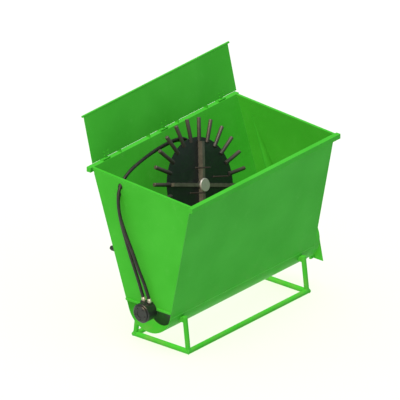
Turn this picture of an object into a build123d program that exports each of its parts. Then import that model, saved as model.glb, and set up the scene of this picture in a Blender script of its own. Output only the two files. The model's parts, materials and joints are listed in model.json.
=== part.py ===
from build123d import *
import os
from math import cos, radians, sin, sqrt, tan

# A stationary hopper on a tubular skid. A finger disc on the rear wall breaks bridges in the load, an
# auger in the trough moves it to the outlet, and two hydraulic motors in series turn them.
# Everything is built about the trough's axis: X runs from the motor end to the outlet, Y to the rear and
# Z up. place() then puts the origin on the ground, in the middle of the footprint.
# All lengths are in millimetres and all angles in degrees.

# Hopper
HOPPER_LENGTH = 2000
SHEET = 4
TROUGH_RADIUS = 245
REAR_LEAN = 18.3
FRONT_LEAN = 11.2
REAR_RIM = 1173
FRONT_RIM = 1112
RAIL = 45
RAIL_WALL = 3
RAIL_OVERHANG = 30
CAP_PLATE = 2
END_BAR = 25
END_BAR_OUTSIDE = 10
LIP_HEIGHT = 18
LIP_DEPTH = 12

# Skid
SKID_LENGTH = 1647
SKID_WIDTH = 600
SKID_DROP = 406
SKID_TUBE = 24
SKID_WALL = 3
POST_TUBE = 22.5
POST_TOP_DROP = 80
POST_TOP_REACH = 262
PAD_WIDTH = 40
PAD_HEIGHT = 50

# Outlet
COLLAR_LENGTH = 70
CONE_APEX = (485, 1050)
CONE_SIDES = (0.335, 0.6)
CONE_DEPTH = 66
CONE_SHEET = 3
FLAP_PIN_REACH = 88
FLAP_PIN_HEIGHT = 273
FLAP_LEAN = 3
FLAP_LENGTH = 506
FLAP_TOP_HALF = 170
FLAP_FOOT_HALF = 247
FLAP_PLATE = 5
FLAP_PIN_RADIUS = 8
FLAP_TUBE_RADIUS = 12
LUG_SPREAD = 124
LUG_THICKNESS = 8
LUG_BOSS_WALL = 5
LUG_FOOT_DEPTH = 12
LUG_NECK_DROP = 50
LUG_SHOULDER_DROP = 30
FLAP_PIN_END = 4
FLAP_TUBE_GAP = 2
STOP_SPREAD = 150
STOP_WIDTH = 20
STOP_HEIGHT = 30
STOP_FOOT_DEPTH = 20
STOP_FOOT_SINK = 5

# Rear board
BOARD_HEIGHT = 460
BOARD_LEAN = 13.3
BOARD_PLATE = 4
BOARD_ROD = 10
BOARD_ROD_OVERHANG = 18
BOARD_FOOT = 18
HINGE_INSET = 200
HINGE_PIN_RISE = 14
HINGE_PIN_INSET = 4
HINGE_PIN_RADIUS = 5
KNUCKLE_RADIUS = 9
KNUCKLE_HALF = 15.5
LEAF_HALF = 45
LEAF_PLATE = 4
STRAP_LENGTH = 75
HINGE_PIN_END = 3
BOARD_BOLT = 4
BOARD_BOLT_INSET = 13
BOARD_BOLT_SPREAD = 27
BOARD_STOP_HEIGHT = 140
BOARD_STOP_PLATE = 6
BOARD_STOP_DEPTH = 12

# Auger
AUGER_CLEARANCE = 30
AUGER_DROP = 20
AUGER_TUBE = 38
AUGER_TUBE_WALL = 5
AUGER_TUBE_START = 60
FLIGHT_COUNT = 6
FLIGHT_START = 62
FLIGHT_END_GAP = 15
FLIGHT_PLATE = 6
STUB_RADIUS = 20
STUB_REACH = 28
PLUG_LENGTH = 15
MOTOR_SHAFT_RADIUS = 16
MOTOR_SHAFT_DEPTH = 60
COUPLING_RADIUS = 32
COUPLING_GRIP = 24
BRIDGE_HALF_HEIGHT = 30
BRIDGE_PLATE = 12
BRIDGE_REACH = 50
BRIDGE_PLAY = 2
BEARING_RADIUS = 48
BEARING_DEPTH = 20

# Auger motor
MOTOR_RADIUS = 90
MOTOR_LENGTH = 118
MOTOR_FLANGE = 10
MOTOR_FLANGE_RADIUS = 88
MOTOR_COVER_RADIUS = 76
MOTOR_COVER = 12
MOTOR_CHAMFER = 6
MOTOR_BOLT = 6
MOTOR_BOLT_RISE = 38
MOTOR_BOLT_SPREAD = 42
MOTOR_BOLT_POCKET = 13
MOTOR_BORE_PLAY = 4
COVER_RECESS = 4
COVER_CHAMFER = 5
SCREW_COUNT = 5
SCREW_CIRCLE = 54
SCREW_RADIUS = 6
SCREW_HEIGHT = 5
PORT_REACH = 37
PORT_SPREAD = 33
PORT_HALF = 22
PORT_FOOT = 30
PORT_TOP = 72
PORT_CHAMFER = 3
MOTOR_HOSE_LEAN = 20
MOTOR_FERRULE = 22

# Agitator
AGITATOR_HEIGHT = 759
AGITATOR_STANDOFF = 250
DISC_RADIUS = 427
DISC_PLATE = 8
TINE_COUNT = 24
TINE_RADIUS = 18
TINE_ROOT = 390
TINE_TIP = 600
TINE_PHASE = 19.2
ARM_COUNT = 4
ARM_WIDTH = 30
ARM_HEIGHT = 50
ARM_END_GAP = 2
STUD_RADIUS = 6.5
STUD_LENGTH = 175
STUD_PLACES = ((159, 1.6), (196, 86.5), (178, 171), (144, 259.3))
HUB_RADIUS = 60
HUB_HEIGHT = 66
HUB_CORE_RADIUS = 32
HUB_CHAMFER = 4
HUB_FLANGE = 20
TINE_CHAMFER = 3
SHAFT_RADIUS = 20
SHAFT_TAIL = 35
SHAFT_GRIP = 58
SHAFT_END_GAP = 2
PEDESTAL_RADIUS = 120
PEDESTAL_PLATE = 10
PEDESTAL_LEG = 12
PEDESTAL_LEG_CIRCLE = 90
PEDESTAL_BOLT = 6
PEDESTAL_BOLT_INSET = 18
DRIVE_PLATE_BACK = 70
DRIVE_PLATE = 12
DRIVE_PLATE_RADIUS = 108
DRIVE_PLATE_PLAY = 3
DRIVE_FLANGE = 12
DRIVE_FLANGE_LIP = 14
DRIVE_RADIUS = 50
DRIVE_LENGTH = 118
DRIVE_PORT_SPREAD = 28
DRIVE_PORT_BACK = 150
DRIVE_PORT_TOP = 72
DRIVE_PORT_MARGIN = 20
DRIVE_HOSE_START = 98

# Hydraulic supply
COUPLER_PLACES = (88, 200)
COUPLER_HEIGHT = 400
COUPLER_RADIUS = 24
COUPLER_BLOCK_REACH = 420
COUPLER_REACH = 509
COUPLER_HEXAGON = 20
COUPLER_NOSE = 14
COUPLER_BLOCK_MARGIN = 16

# Fits
RUNNING_FIT = 0.06
SEAT_GAP = 0.3
HOLE_PLAY = 0.5

# Hoses
HOSE_RADIUS = 15
FERRULE_RADIUS = 19
ADAPTOR_FLATS = 34
ADAPTOR_HEIGHT = 10
GROMMET_WALL = 7
GROMMET_LENGTH = 26
GROMMET_PLAY = 0.6
PRESSURE_HOSE = [
    (-37, -25.475, 102.673),
    (-37, 0.2, 173.2),
    (-50, 31, 268),
    (-62, 73, 368),
    (-67, 122, 490),
    (-70, 182, 612),
    (-71, 238, 730),
    (-70, 281, 835),
    (-62, 305, 935),
    (-38, 322, 1037),
    (42, 340, 1117),
    (140, 346, 1163),
    (275, 358, 1191),
    (440, 391, 1194),
    (610, 433, 1181),
    (780, 453, 1175),
    (930, 459, 1166),
    (1050, 464, 1135),
    (1128, 455, 1060),
    (1165, 436, 965),
    (1147.1, 403.6, 860.3),
    (1069.3, 379.1, 786.5),
]
RETURN_HOSE = [
    (-37, 40.525, 102.673),
    (-37, 66.2, 173.2),
    (-40, 98, 262),
    (-44, 131, 350),
    (-43, 178, 455),
    (-38, 228, 575),
    (-35, 272, 688),
    (-35, 303, 785),
    (-34, 322, 882),
    (-22, 336, 965),
    (26, 352, 1040),
    (100, 370, 1103),
    (200, 381, 1149),
    (320, 395, 1166),
    (455, 421, 1166),
    (620, 462, 1153),
    (790, 482, 1147),
    (940, 489, 1139),
    (1056, 493, 1108),
    (1136, 487, 1040),
    (1172, 471, 945),
    (1147.1, 456.8, 842.7),
    (1069.3, 432.3, 768.9),
]
WALL_RUN = 9
BEND_SHARE = 0.45


# Shapes shared by many pieces

def prism(outline, x_start, x_end):
    """Solid between two X planes, with an outline of (Y, Z) points."""
    face = Face(Wire.make_polygon([Vector(x_start, y, z) for y, z in outline]))
    return Solid.extrude(face, Vector(x_end - x_start, 0, 0))


def slab(outline, y_start, y_end):
    """Solid between two Y planes, with an outline of (X, Z) points."""
    face = Face(Wire.make_polygon([Vector(x, y_start, z) for x, z in outline]))
    return Solid.extrude(face, Vector(0, y_end - y_start, 0))


def block(low, high):
    """Solid box between its lowest and highest corners."""
    size = Vector(*high) - Vector(*low)
    return Solid.make_box(size.X, size.Y, size.Z, Plane(Vector(*low)))


def rod(start, end, radius):
    """Solid round bar between two points."""
    axis = Vector(*end) - Vector(*start)
    return Solid.make_cylinder(radius, axis.length, Plane(Vector(*start), z_dir=axis))


def pipe(start, end, radius, wall):
    """Round tube between two points."""
    return rod(start, end, radius) - rod(start, end, radius - wall)


def hex_prism(start, end, across_flats):
    """Hexagonal bar between two points."""
    plane = Plane(Vector(*start), z_dir=Vector(*end) - Vector(*start))
    face = plane * RegularPolygon(across_flats / 2, 6, major_radius=False)
    return extrude(face, (Vector(*end) - Vector(*start)).length).solid()


def bolt(start, end, radius):
    """Hexagon bolt and nut that clamp what lies between two points."""
    start, end = Vector(*start), Vector(*end)
    way = (end - start).normalized()
    head = hex_prism(start - way * radius * 1.3, start, radius * 3.4)
    nut = hex_prism(end, end + way * radius * 1.5, radius * 3.4)
    shank = rod(start - way * radius, end + way * radius * 2.2, radius)
    return (head + shank + nut).solid()


# Places that follow from the driving dimensions

def rear_y(z, depth=0):
    """Y of the rear wall at a height, some depth below its outer face."""
    return (TROUGH_RADIUS - depth + sin(radians(REAR_LEAN)) * z) / cos(radians(REAR_LEAN))


def front_y(z, depth=0):
    """Y of the front wall at a height, some depth below its outer face."""
    return -(TROUGH_RADIUS - depth + sin(radians(FRONT_LEAN)) * z) / cos(radians(FRONT_LEAN))


def trough_point(lean, side, radius):
    """Point of the trough's circle where a wall of that lean leaves it."""
    return (side * radius * cos(radians(lean)), -radius * sin(radians(lean)))


TROUGH_INSIDE = TROUGH_RADIUS - SHEET
AUGER_RADIUS = TROUGH_RADIUS - AUGER_DROP - AUGER_CLEARANCE
FLIGHT_END = HOPPER_LENGTH - FLIGHT_END_GAP
FLIGHT_PITCH = (FLIGHT_END - FLIGHT_START) / FLIGHT_COUNT
COLLAR_END = HOPPER_LENGTH + COLLAR_LENGTH
REAR_RAIL_FACE = rear_y(REAR_RIM)
FRONT_RAIL_FACE = front_y(FRONT_RIM)

WALL_NORMAL = Vector(0, -cos(radians(REAR_LEAN)), sin(radians(REAR_LEAN)))
AGITATOR_Y = rear_y(AGITATOR_HEIGHT, SHEET) - AGITATOR_STANDOFF / cos(radians(REAR_LEAN))
AGITATOR_CENTRE = Vector(HOPPER_LENGTH / 2, AGITATOR_Y, AGITATOR_HEIGHT)
AGITATOR_PLANE = Plane(AGITATOR_CENTRE, x_dir=Vector(1, 0, 0), z_dir=WALL_NORMAL)

BOARD_PIN = Vector(0, REAR_RAIL_FACE + HINGE_PIN_INSET, REAR_RIM + HINGE_PIN_RISE)
BOARD_UP = Vector(0, sin(radians(BOARD_LEAN)), cos(radians(BOARD_LEAN)))
BOARD_OUT = Vector(0, cos(radians(BOARD_LEAN)), -sin(radians(BOARD_LEAN)))
HINGE_PLACES = (HINGE_INSET, HOPPER_LENGTH / 2, HOPPER_LENGTH - HINGE_INSET)

FLAP_PIN = Vector(HOPPER_LENGTH + FLAP_PIN_REACH, 0, FLAP_PIN_HEIGHT)
FLAP_DOWN = Vector(sin(radians(FLAP_LEAN)), 0, -cos(radians(FLAP_LEAN)))
FLAP_OUT = Vector(cos(radians(FLAP_LEAN)), 0, sin(radians(FLAP_LEAN)))


def at_agitator(x, v, d):
    """Point in the disc's frame: along X, up the wall, and off the disc's front face."""
    return tuple(AGITATOR_PLANE.from_local_coords(Vector(x, v, d)))


def board_point(s, w):
    """(Y, Z) of a point up the board from its pin, and out from the pin's plane."""
    point = BOARD_PIN + BOARD_UP * s + BOARD_OUT * w
    return (point.Y, point.Z)


def flap_point(s, w):
    """(X, Z) of a point down the flap from its pin, and out from the pin's plane."""
    point = FLAP_PIN + FLAP_DOWN * s + FLAP_OUT * w
    return (point.X, point.Z)


# Hopper shell

def wall_sheet(lean, side, face_y, rim):
    """Leaning side wall, from the trough up to its rim."""
    outline = [
        trough_point(lean, side, TROUGH_RADIUS),
        (face_y(rim), rim),
        (face_y(rim, SHEET), rim),
        trough_point(lean, side, TROUGH_INSIDE),
    ]
    return prism(outline, 0, HOPPER_LENGTH)


def trough():
    """Round bottom between the two walls."""
    reach = 2 * TROUGH_RADIUS
    under_walls = [
        (0, 0),
        trough_point(REAR_LEAN, 1, reach),
        (reach, -reach),
        (-reach, -reach),
        trough_point(FRONT_LEAN, -1, reach),
    ]
    ring = pipe((0, 0, 0), (HOPPER_LENGTH, 0, 0), TROUGH_RADIUS, SHEET)
    return ring & prism(under_walls, 0, HOPPER_LENGTH)


def end_outline(bottom, top_drop):
    """Outline of the space between the walls, from one height to a drop below the rims."""
    front_top = FRONT_RIM - top_drop
    rear_top = REAR_RIM - top_drop
    return [
        (front_y(bottom, SHEET), bottom),
        (rear_y(bottom, SHEET), bottom),
        (rear_y(rear_top, SHEET), rear_top),
        (front_y(front_top, SHEET), front_top),
    ]


def end_bar(x_start):
    """Square bar on top of an end wall."""
    front_foot = FRONT_RIM - END_BAR
    rear_foot = REAR_RIM - END_BAR
    outline = [
        (front_y(front_foot, SHEET), front_foot),
        (rear_y(rear_foot, SHEET), rear_foot),
        (rear_y(REAR_RIM, SHEET), REAR_RIM),
        (front_y(FRONT_RIM, SHEET), FRONT_RIM),
    ]
    return prism(outline, x_start, x_start + END_BAR)


def rim_rail(y_low, z_high):
    """Square tube along a rim, with its two end caps."""
    x_start = -RAIL_OVERHANG + CAP_PLATE
    x_end = HOPPER_LENGTH + RAIL_OVERHANG - CAP_PLATE
    low = (x_start, y_low, z_high - RAIL)
    high = (x_end, y_low + RAIL, z_high)
    inside_low = (x_start, low[1] + RAIL_WALL, low[2] + RAIL_WALL)
    inside_high = (x_end, high[1] - RAIL_WALL, high[2] - RAIL_WALL)
    tube = block(low, high) - block(inside_low, inside_high)
    caps = [
        block((x_start - CAP_PLATE, low[1], low[2]), (x_start, high[1], high[2])),
        block((x_end, low[1], low[2]), (x_end + CAP_PLATE, high[1], high[2])),
    ]
    return tube, caps


def end_lips():
    """Stiffening lips on the left end wall's lower edge, on both sides of the motor."""
    start = MOTOR_FLANGE_RADIUS + LIP_DEPTH / 3
    top = LIP_HEIGHT
    front = [(front_y(0), 0), (-start, 0), (-start, top), (front_y(top), top)]
    rear = [(start, 0), (rear_y(0), 0), (rear_y(top), top), (start, top)]
    return [prism(outline, -LIP_DEPTH, 0) for outline in (front, rear)]


# Skid

def skid_corner(x_side, y_side):
    """Centre of a skid corner."""
    x = HOPPER_LENGTH / 2 + x_side * SKID_LENGTH / 2
    return Vector(x, y_side * SKID_WIDTH / 2, -SKID_DROP)


def mitred_bar(start, end, turn, radius):
    """Round bar between two corners, cut at 45 degrees where the next one meets it."""
    way = (end - start).normalized()
    bar = rod(start - way * radius, end + way * radius, radius)
    for corner, outward in ((start, way * -1), (end, way)):
        bar = bar.split(Plane(corner, z_dir=outward - turn), keep=Keep.BOTTOM)
    return bar


def skid_rail(y_side, radius=SKID_TUBE):
    """Long skid bar along one side."""
    return mitred_bar(skid_corner(-1, y_side), skid_corner(1, y_side), Vector(0, y_side, 0), radius)


def skid_cross(x_side, radius=SKID_TUBE):
    """Short skid bar across one end."""
    return mitred_bar(skid_corner(x_side, -1), skid_corner(x_side, 1), Vector(x_side, 0, 0), radius)


def hollow(bar, side):
    """Tube with the shape of a skid bar."""
    return bar(side) - bar(side, SKID_TUBE - SKID_WALL)


def post_top(x_side, y_side):
    """Centre of a post's flat top."""
    corner = skid_corner(x_side, y_side)
    return Vector(corner.X, y_side * POST_TOP_REACH, -POST_TOP_DROP)


def skid_post(x_side, y_side):
    """Leaning post, coped over its skid corner."""
    post = pipe(skid_corner(x_side, y_side), post_top(x_side, y_side), POST_TUBE, SKID_WALL)
    return post - skid_rail(y_side) - skid_cross(x_side)


def post_cap(x_side, y_side):
    """Plate that closes a post's top."""
    top = post_top(x_side, y_side)
    way = (top - skid_corner(x_side, y_side)).normalized()
    return rod(top, top + way * SKID_WALL, POST_TUBE)


def post_pad(x_side, y_side):
    """Saddle that fills the space between a post and the round of the trough."""
    top = post_top(x_side, y_side)
    y_far = y_side * POST_TOP_REACH
    y_near = y_side * TROUGH_RADIUS / 2
    low = (top.X - PAD_WIDTH / 2, min(y_near, y_far), top.Z - PAD_HEIGHT)
    high = (top.X + PAD_WIDTH / 2, max(y_near, y_far), top.Z - SKID_WALL)
    pad = block(low, high) - rod((0, 0, 0), (HOPPER_LENGTH, 0, 0), TROUGH_RADIUS)
    return pad - rod(skid_corner(x_side, y_side), top, POST_TUBE)


# Outlet

def cone_bar(inset):
    """Half cone that bulges out of the outlet end wall, some inset inside its outer skin."""
    apex = Vector(HOPPER_LENGTH, *CONE_APEX)
    drop = CONE_APEX[1]
    rear_foot = Vector(0, -CONE_SIDES[0] * drop, -drop)
    front_foot = Vector(0, -CONE_SIDES[1] * drop, -drop)
    middle = (rear_foot + front_foot) / 2
    half_width = (rear_foot - front_foot).length / 2
    apex_drop = middle * (inset / half_width)
    plane = Plane(apex + middle, x_dir=Vector(0, 1, 0), z_dir=Vector(0, 0, 1))
    half_ellipse = Ellipse(half_width - inset, CONE_DEPTH - inset)
    half_ellipse = half_ellipse & Pos(0, -CONE_DEPTH) * Rectangle(4 * half_width, 2 * CONE_DEPTH)
    base = (plane * half_ellipse).face()
    cone = loft([Vertex(apex + apex_drop), base], ruled=True)
    return cone.solid()


def cone_opening():
    """Cut through the outlet end wall behind the half cone, as wide as the cone inside its skin."""
    apex = Vector(*CONE_APEX)
    drop = CONE_APEX[1]
    feet = [apex + Vector(-side * drop, -drop) for side in CONE_SIDES]
    middle = (feet[0] + feet[1]) / 2
    inset = 2 * CONE_SHEET / (feet[0] - feet[1]).length
    corners = [point + (middle - point) * inset for point in (apex, feet[0], feet[1])]
    return prism([(point.X, point.Y) for point in corners], HOPPER_LENGTH - SHEET, HOPPER_LENGTH)


def outlet_wall():
    """End wall over the trough, open at the outlet and behind the half cone."""
    wall = prism(end_outline(0, END_BAR), HOPPER_LENGTH - SHEET, HOPPER_LENGTH)
    wall = wall - rod((0, 0, 0), (COLLAR_END, 0, 0), TROUGH_INSIDE)
    return wall - cone_opening()


def outlet_cone():
    """Thin half cone that dies onto the collar."""
    shell = cone_bar(0) - cone_bar(CONE_SHEET)
    return shell - rod((HOPPER_LENGTH, 0, 0), (COLLAR_END, 0, 0), TROUGH_RADIUS)


def outlet_collar():
    """Round spigot that carries on from the trough, open into the half cone."""
    ring = pipe((HOPPER_LENGTH, 0, 0), (COLLAR_END, 0, 0), TROUGH_RADIUS, SHEET)
    return ring - cone_bar(CONE_SHEET)


def outlet_bridge():
    """Flat bar across the collar that carries the auger's end bearing."""
    low = (HOPPER_LENGTH + BRIDGE_REACH, -TROUGH_RADIUS, -AUGER_DROP - BRIDGE_HALF_HEIGHT)
    high = (low[0] + BRIDGE_PLATE, TROUGH_RADIUS, -AUGER_DROP + BRIDGE_HALF_HEIGHT)
    bar = block(low, high) & rod((HOPPER_LENGTH, 0, 0), (COLLAR_END, 0, 0), TROUGH_INSIDE)
    bore = rod((low[0], 0, -AUGER_DROP), (high[0], 0, -AUGER_DROP), STUB_RADIUS + BRIDGE_PLAY)
    return bar - bore


def outlet_bearing():
    """Flanged bearing on the inner face of the bridge."""
    end = HOPPER_LENGTH + BRIDGE_REACH
    axis_start = (end - BEARING_DEPTH, 0, -AUGER_DROP)
    axis_end = (end, 0, -AUGER_DROP)
    housing = rod(axis_start, axis_end, BEARING_RADIUS)
    return housing - rod(axis_start, axis_end, STUB_RADIUS + RUNNING_FIT)


def on_flap_pin(y_start, y_end, radius):
    """Round bar on the flap pin's axis."""
    return rod((FLAP_PIN.X, y_start, FLAP_PIN.Z), (FLAP_PIN.X, y_end, FLAP_PIN.Z), radius)


def flap_lugs():
    """Two lugs on the collar that hold the flap's pin."""
    end = COLLAR_END
    foot = TROUGH_RADIUS * 0.8
    boss = FLAP_PIN_RADIUS + LUG_BOSS_WALL
    back = end - LUG_FOOT_DEPTH
    outline = [
        (back, foot),
        (end, foot),
        (end, FLAP_PIN_HEIGHT - LUG_NECK_DROP),
        (FLAP_PIN.X - boss / 2, FLAP_PIN_HEIGHT - boss),
        (FLAP_PIN.X - boss / 2, FLAP_PIN_HEIGHT + boss / 2),
        (back, FLAP_PIN_HEIGHT - LUG_SHOULDER_DROP),
    ]
    lugs = []
    for y in (-LUG_SPREAD, LUG_SPREAD):
        low = y - LUG_THICKNESS / 2
        high = y + LUG_THICKNESS / 2
        lug = slab(outline, low, high)
        lug = lug + on_flap_pin(low, high, boss)
        lug = lug - rod((0, 0, 0), (2 * HOPPER_LENGTH, 0, 0), TROUGH_RADIUS)
        lugs.append(lug - flap_pin())
    return lugs


def flap_pin():
    """Hinge pin of the flap, fixed in both lugs."""
    reach = LUG_SPREAD + LUG_THICKNESS / 2 + FLAP_PIN_END
    return on_flap_pin(-reach, reach, FLAP_PIN_RADIUS)


def flap_tube():
    """Tube of the flap that turns on the pin."""
    reach = LUG_SPREAD - LUG_THICKNESS / 2 - FLAP_TUBE_GAP
    bore = on_flap_pin(-reach, reach, FLAP_PIN_RADIUS + RUNNING_FIT)
    return on_flap_pin(-reach, reach, FLAP_TUBE_RADIUS) - bore


def discharge_flap():
    """Widening plate that hangs from its tube, notched round the lugs."""
    top = [(-FLAP_TOP_HALF, 0), (FLAP_TOP_HALF, 0)]
    foot = [(FLAP_FOOT_HALF, FLAP_LENGTH), (-FLAP_FOOT_HALF, FLAP_LENGTH)]
    back = FLAP_PIN - FLAP_OUT * (FLAP_PLATE / 2)
    outline = [back + FLAP_DOWN * s + Vector(0, y, 0) for y, s in top + foot]
    plate = Solid.extrude(Face(Wire.make_polygon(outline)), FLAP_OUT * FLAP_PLATE)
    for y in (-LUG_SPREAD, LUG_SPREAD):
        plate = plate - on_flap_pin(y - LUG_THICKNESS, y + LUG_THICKNESS, 2 * FLAP_TUBE_RADIUS)
    return plate - on_flap_pin(-FLAP_FOOT_HALF, FLAP_FOOT_HALF, FLAP_TUBE_RADIUS)


def flap_stops():
    """Two feet on the collar that the hanging flap rests against."""
    seat = -FLAP_PLATE / 2 - SEAT_GAP
    back = COLLAR_END - STOP_FOOT_DEPTH
    s_top = FLAP_PIN_HEIGHT + sqrt(TROUGH_RADIUS ** 2 - STOP_SPREAD ** 2) - STOP_FOOT_SINK
    outline = [
        (back, FLAP_PIN_HEIGHT - s_top),
        flap_point(s_top, seat),
        flap_point(s_top + STOP_HEIGHT, seat),
        (back, FLAP_PIN_HEIGHT - s_top - STOP_HEIGHT),
    ]
    stops = []
    for y in (-STOP_SPREAD, STOP_SPREAD):
        stop = slab(outline, y - STOP_WIDTH / 2, y + STOP_WIDTH / 2)
        stops.append(stop - rod((0, 0, 0), (2 * HOPPER_LENGTH, 0, 0), TROUGH_RADIUS))
    return stops


# Rear board

def rear_board():
    """Leaning board over the rear rim, drilled for its hinge straps."""
    outline = [
        board_point(BOARD_FOOT, -LEAF_PLATE / 2 - BOARD_PLATE),
        board_point(BOARD_FOOT, -LEAF_PLATE / 2),
        board_point(BOARD_HEIGHT - BOARD_ROD, -LEAF_PLATE / 2),
        board_point(BOARD_HEIGHT - BOARD_ROD, -LEAF_PLATE / 2 - BOARD_PLATE),
    ]
    board = prism(outline, 0, HOPPER_LENGTH)
    for start, end in board_bolt_places():
        board = board - rod(start, end, BOARD_BOLT + HOLE_PLAY)
    return board


def board_bolt_places():
    """Start and end of the grip of each strap bolt."""
    places = []
    for x in HINGE_PLACES:
        for across in (-1, 1):
            for s in (BOARD_FOOT + BOARD_BOLT_INSET, STRAP_LENGTH - BOARD_BOLT_INSET):
                front = (x + across * BOARD_BOLT_SPREAD, *board_point(s, -LEAF_PLATE / 2 - BOARD_PLATE))
                back = (x + across * BOARD_BOLT_SPREAD, *board_point(s, LEAF_PLATE / 2))
                places.append((front, back))
    return places


def board_rod():
    """Round bar along the board's top edge."""
    y, z = board_point(BOARD_HEIGHT, -LEAF_PLATE / 2 - BOARD_PLATE / 2)
    return rod((-BOARD_ROD_OVERHANG, y, z), (HOPPER_LENGTH + BOARD_ROD_OVERHANG, y, z), BOARD_ROD)


def hinge_strap(x):
    """Moving hinge leaf, with one knuckle between the two of the fixed leaf."""
    outline = [
        board_point(0, -LEAF_PLATE / 2),
        board_point(0, LEAF_PLATE / 2),
        board_point(STRAP_LENGTH, LEAF_PLATE / 2),
        board_point(STRAP_LENGTH, -LEAF_PLATE / 2),
    ]
    lower = [
        board_point(BOARD_FOOT, -LEAF_PLATE / 2),
        board_point(BOARD_FOOT, LEAF_PLATE / 2),
        board_point(STRAP_LENGTH, LEAF_PLATE / 2),
        board_point(STRAP_LENGTH, -LEAF_PLATE / 2),
    ]
    strap = prism(outline, x - KNUCKLE_HALF, x + KNUCKLE_HALF)
    strap = strap + prism(lower, x - LEAF_HALF, x + LEAF_HALF)
    start = (x - KNUCKLE_HALF, BOARD_PIN.Y, BOARD_PIN.Z)
    end = (x + KNUCKLE_HALF, BOARD_PIN.Y, BOARD_PIN.Z)
    strap = strap + rod(start, end, KNUCKLE_RADIUS)
    strap = strap - rod(start, end, HINGE_PIN_RADIUS + RUNNING_FIT)
    for bolt_start, bolt_end in board_bolt_places():
        strap = strap - rod(bolt_start, bolt_end, BOARD_BOLT + HOLE_PLAY)
    return strap


def hinge_base(x):
    """Fixed hinge leaf on the rear rail, with its two knuckles."""
    low = (x - LEAF_HALF, REAR_RAIL_FACE, REAR_RIM)
    high = (x + LEAF_HALF, REAR_RAIL_FACE + RAIL, REAR_RIM + LEAF_PLATE)
    base = block(low, high)
    inner = KNUCKLE_HALF + SEAT_GAP
    for x_start, x_end in ((x - LEAF_HALF, x - inner), (x + inner, x + LEAF_HALF)):
        knuckle_low = (x_start, BOARD_PIN.Y - HINGE_PIN_INSET, REAR_RIM)
        knuckle_high = (x_end, BOARD_PIN.Y + KNUCKLE_RADIUS, BOARD_PIN.Z)
        base = base + block(knuckle_low, knuckle_high)
        start = (x_start, BOARD_PIN.Y, BOARD_PIN.Z)
        base = base + rod(start, (x_end, BOARD_PIN.Y, BOARD_PIN.Z), KNUCKLE_RADIUS)
    return base - hinge_pin(x)


def hinge_pin(x):
    """Hinge pin, fixed in the base's knuckles."""
    reach = LEAF_HALF + HINGE_PIN_END
    return rod((x - reach, BOARD_PIN.Y, BOARD_PIN.Z), (x + reach, BOARD_PIN.Y, BOARD_PIN.Z), HINGE_PIN_RADIUS)


def board_stop(x):
    """Gusset on the rear rail that the board leans back on."""
    seat = -LEAF_PLATE / 2 + SEAT_GAP
    foot = (REAR_RIM - BOARD_PIN.Z + seat * sin(radians(BOARD_LEAN))) / cos(radians(BOARD_LEAN))
    outline = [
        board_point(foot, seat),
        board_point(BOARD_STOP_HEIGHT, seat),
        board_point(BOARD_STOP_HEIGHT, seat + BOARD_STOP_DEPTH),
        (REAR_RAIL_FACE + RAIL, REAR_RIM + BOARD_STOP_DEPTH),
        (REAR_RAIL_FACE + RAIL, REAR_RIM),
    ]
    return prism(outline, x - BOARD_STOP_PLATE / 2, x + BOARD_STOP_PLATE / 2)


# Auger

def flight(index):
    """One turn of the screw's blade."""
    x = FLIGHT_START + index * FLIGHT_PITCH
    inner = Edge.make_helix(FLIGHT_PITCH, FLIGHT_PITCH, AUGER_TUBE + SEAT_GAP)
    outer = Edge.make_helix(FLIGHT_PITCH, FLIGHT_PITCH, AUGER_RADIUS)
    blade = Solid.extrude(Face.make_surface_from_curves(inner, outer), Vector(0, 0, FLIGHT_PLATE))
    return Plane((x, 0, -AUGER_DROP), x_dir=(0, -1, 0), z_dir=(1, 0, 0)).location * blade


def on_auger(x_start, x_end, radius):
    """Round bar on the auger's axis."""
    return rod((x_start, 0, -AUGER_DROP), (x_end, 0, -AUGER_DROP), radius)


def auger_tube():
    """Hollow shaft that carries the blade."""
    tube = on_auger(AUGER_TUBE_START, FLIGHT_END, AUGER_TUBE)
    return tube - on_auger(AUGER_TUBE_START, FLIGHT_END, AUGER_TUBE - AUGER_TUBE_WALL)


def auger_stubs():
    """Solid shaft ends, each with the plug that closes the tube."""
    plug = AUGER_TUBE - AUGER_TUBE_WALL
    drive_end = on_auger(AUGER_TUBE_START - STUB_REACH, AUGER_TUBE_START, STUB_RADIUS)
    drive_end = drive_end + on_auger(AUGER_TUBE_START, AUGER_TUBE_START + PLUG_LENGTH, plug)
    bridge_end = HOPPER_LENGTH + BRIDGE_REACH + BRIDGE_PLATE
    free_end = on_auger(FLIGHT_END - PLUG_LENGTH, FLIGHT_END, plug)
    return [drive_end, free_end + on_auger(FLIGHT_END, bridge_end, STUB_RADIUS)]


def auger_coupling():
    """Sleeve between the motor's shaft and the auger."""
    middle = AUGER_TUBE_START - STUB_REACH
    start = middle - COUPLING_GRIP
    sleeve = on_auger(start, AUGER_TUBE_START - SEAT_GAP, COUPLING_RADIUS)
    sleeve = sleeve - on_auger(start, middle, MOTOR_SHAFT_RADIUS)
    return sleeve - on_auger(middle, AUGER_TUBE_START, STUB_RADIUS)


def auger_motor_shaft():
    """Output shaft of the auger motor."""
    return on_auger(-MOTOR_SHAFT_DEPTH, AUGER_TUBE_START - STUB_REACH, MOTOR_SHAFT_RADIUS)


# Auger motor

def motor_bolt_places():
    """Grip of the two bolts that hold the motor's flange to the end wall."""
    spread = MOTOR_BOLT_SPREAD
    return [((-MOTOR_FLANGE, y, MOTOR_BOLT_RISE), (SHEET, y, MOTOR_BOLT_RISE)) for y in (-spread, spread)]


def motor_flange():
    """Round flange between the motor and the end wall."""
    flange = on_auger(-MOTOR_FLANGE, 0, MOTOR_FLANGE_RADIUS)
    flange = flange - on_auger(-MOTOR_FLANGE, 0, MOTOR_SHAFT_RADIUS + MOTOR_BORE_PLAY)
    for start, end in motor_bolt_places():
        flange = flange - rod(start, end, MOTOR_BOLT + HOLE_PLAY)
    return flange


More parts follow.
